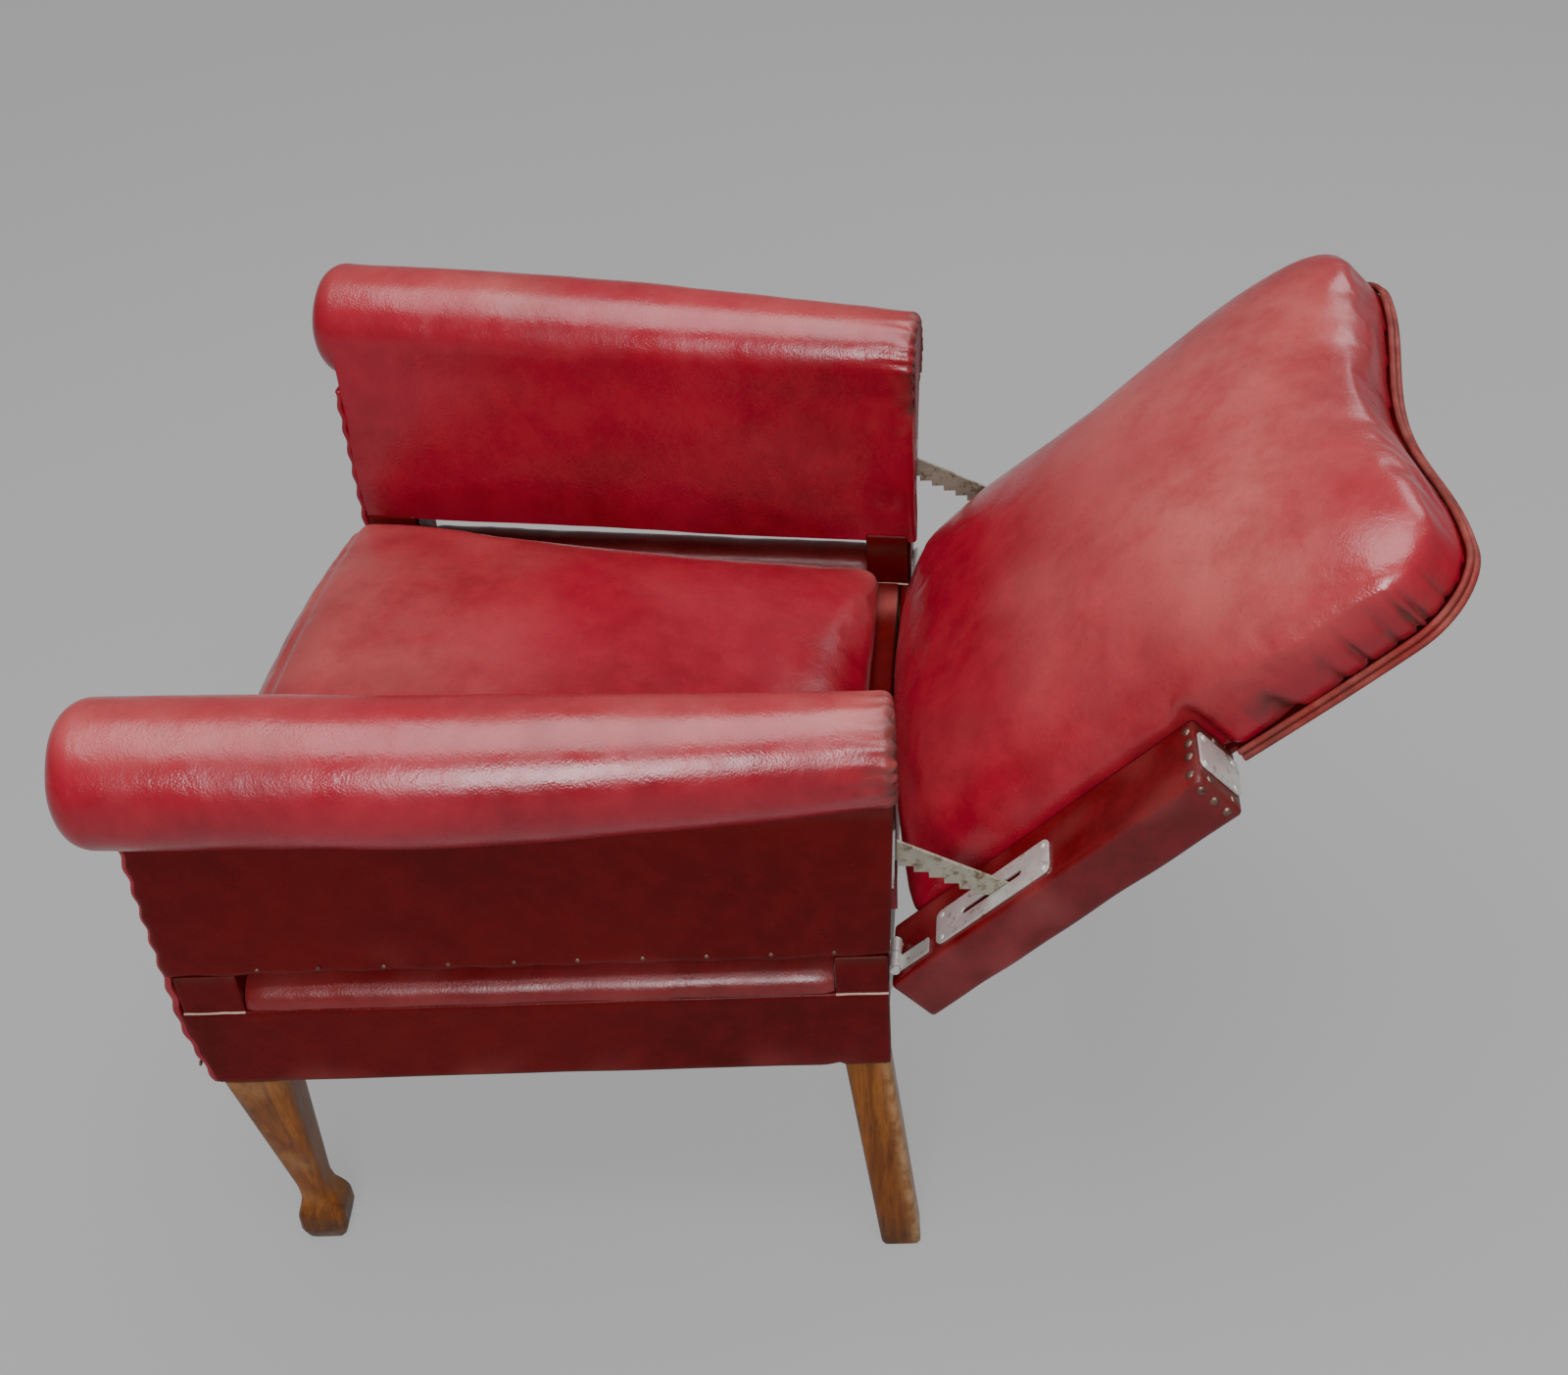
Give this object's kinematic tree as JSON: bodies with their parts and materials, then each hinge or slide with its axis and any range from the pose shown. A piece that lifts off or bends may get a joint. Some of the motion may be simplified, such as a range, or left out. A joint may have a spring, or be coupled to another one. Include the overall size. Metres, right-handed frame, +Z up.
{
  "type": "recliner armchair",
  "caption": "Leather armchair with rolled arms, square timber legs and a hinged back that reclines on a toothed bar at each side.",
  "frame": {"origin": "middle of the reclined chair's footprint, on the floor", "axes": "+Z up, -Y the way the chair faces, +X the sitter's left"},
  "size_m": [0.8216, 1.0273, 0.6997],
  "materials": {
    "crimson_leather": "satin",
    "stuffed_leather": "satin",
    "post_leather": "satin",
    "frame_timber": "matte",
    "leg_wood": "satin",
    "plate_steel": "satin",
    "bar_steel": "satin",
    "jute_webbing": "matte",
    "spring_steel": "satin"
  },
  "bodies": {
    "base": {"front_rail": "frame_timber", "rear_rail": "frame_timber", "side_rail_left": "frame_timber", "side_rail_right": "frame_timber", "front_leg_left": "leg_wood", "front_leg_right": "leg_wood", "rear_leg_left": "leg_wood", "rear_leg_right": "leg_wood", "seat_webbing": "jute_webbing", "seat_spring_front_left": "spring_steel", "seat_spring_front_right": "spring_steel", "seat_spring_rear_left": "spring_steel", "seat_spring_rear_right": "spring_steel", "seat_pad": "stuffed_leather", "front_border": "crimson_leather", "rear_base_cover": "crimson_leather", "base_side_cover_left": "crimson_leather", "base_side_cover_right": "crimson_leather", "side_rail_roll_left": "stuffed_leather", "side_rail_roll_right": "stuffed_leather", "arm_front_post_left": "frame_timber", "arm_rear_post_left": "frame_timber", "arm_top_rail_left": "frame_timber", "outer_arm_panel_left": "crimson_leather", "inner_arm_pad_left": "crimson_leather", "arm_roll_left": "stuffed_leather", "front_facing_left": "crimson_leather", "rear_facing_left": "crimson_leather", "catch_plate_left": "plate_steel", "hinge_leaf_base_left": "plate_steel", "hinge_pin_left": "plate_steel", "arm_front_post_right": "frame_timber", "arm_rear_post_right": "frame_timber", "arm_top_rail_right": "frame_timber", "outer_arm_panel_right": "crimson_leather", "inner_arm_pad_right": "crimson_leather", "arm_roll_right": "stuffed_leather", "front_facing_right": "crimson_leather", "rear_facing_right": "crimson_leather", "catch_plate_right": "plate_steel", "hinge_leaf_base_right": "plate_steel", "hinge_pin_right": "plate_steel"},
    "backrest": {"back_post_left": "post_leather", "back_post_right": "post_leather", "back_bottom_rail": "frame_timber", "back_top_rail": "frame_timber", "crest_board": "frame_timber", "back_pad": "stuffed_leather", "outside_back_panel": "crimson_leather", "back_piping": "crimson_leather", "slot_plate_left": "plate_steel", "end_plate_left": "plate_steel", "hinge_leaf_back_left": "plate_steel", "ratchet_pin_left": "plate_steel", "slot_plate_right": "plate_steel", "end_plate_right": "plate_steel", "hinge_leaf_back_right": "plate_steel", "ratchet_pin_right": "plate_steel"},
    "ratchet_left": {"ratchet_bar_left": "bar_steel"},
    "ratchet_right": {"ratchet_bar_right": "bar_steel"}
  },
  "joints": [
    {"name": "back_recline", "type": "hinge", "parent": "base", "child": "backrest", "pos_m": [0, 0.0963, 0.3341], "axis": [1, 0, 0], "range_deg": [0, 42]},
    {"name": "ratchet_swing_left", "type": "hinge", "parent": "backrest", "child": "ratchet_left", "pos_m": [0.279, 0.20037, 0.39374], "axis": [1, 0, 0], "range_deg": [-16.8, 0]},
    {"name": "ratchet_swing_right", "type": "hinge", "parent": "backrest", "child": "ratchet_right", "pos_m": [-0.279, 0.20037, 0.39374], "axis": [1, 0, 0], "range_deg": [-16.8, 0]}
  ],
  "couplings": [
    {"joint": "ratchet_swing_left", "follows": "back_recline", "ratio": -0.4},
    {"joint": "ratchet_swing_right", "follows": "back_recline", "ratio": -0.4}
  ]
}
